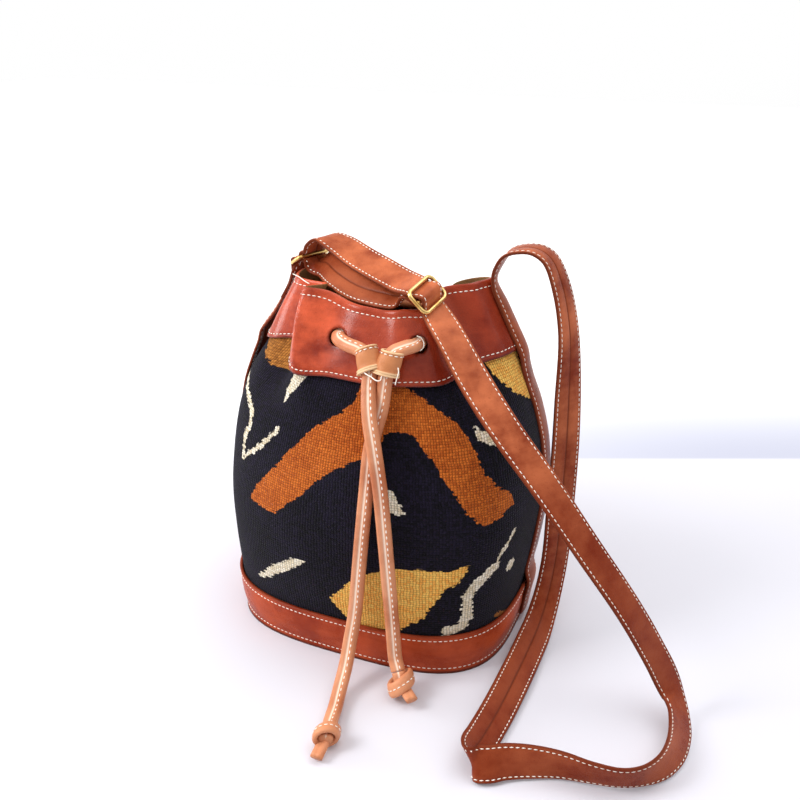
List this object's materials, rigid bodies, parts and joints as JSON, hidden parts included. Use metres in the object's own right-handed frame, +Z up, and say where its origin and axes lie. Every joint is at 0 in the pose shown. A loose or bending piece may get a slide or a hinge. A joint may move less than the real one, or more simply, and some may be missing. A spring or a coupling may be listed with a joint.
{
  "type": "drawstring bucket bag",
  "caption": "Soft bucket bag of patterned mudcloth on a leather base, drawn shut by a leather cord through its collar, with a long adjustable shoulder strap.",
  "frame": {"origin": "middle of the underside of the base, on the surface the bag stands on", "axes": "+Z up, -Y out of the front where the drawstring hangs, +X to the side the shoulder strap is sewn on"},
  "size_m": [0.2895, 0.219, 0.2301],
  "materials": {
    "mudcloth": "coarse strip-woven cotton, dyed near black with rust, ochre and cream shapes",
    "collar_leather": "glossy red-brown",
    "base_leather": "satin brown",
    "strap_leather": "glossy cognac brown with pale stitching",
    "cord_leather": "satin tan, folded and stitched",
    "brass": "polished wire"
  },
  "bodies": {
    "root": {"base_panel": "base_leather", "base_band": "base_leather", "body_cloth": "mudcloth", "collar": "collar_leather", "side_strip_left": "strap_leather", "shoulder_strap": "strap_leather", "strap_ring": "brass", "strap_slide": "brass", "drawstring_left": "cord_leather", "drawstring_right": "cord_leather", "drawstring_inside": "cord_leather", "cord_keeper": "cord_leather", "knot_left": "cord_leather", "knot_right": "cord_leather"}
  },
  "joints": []
}
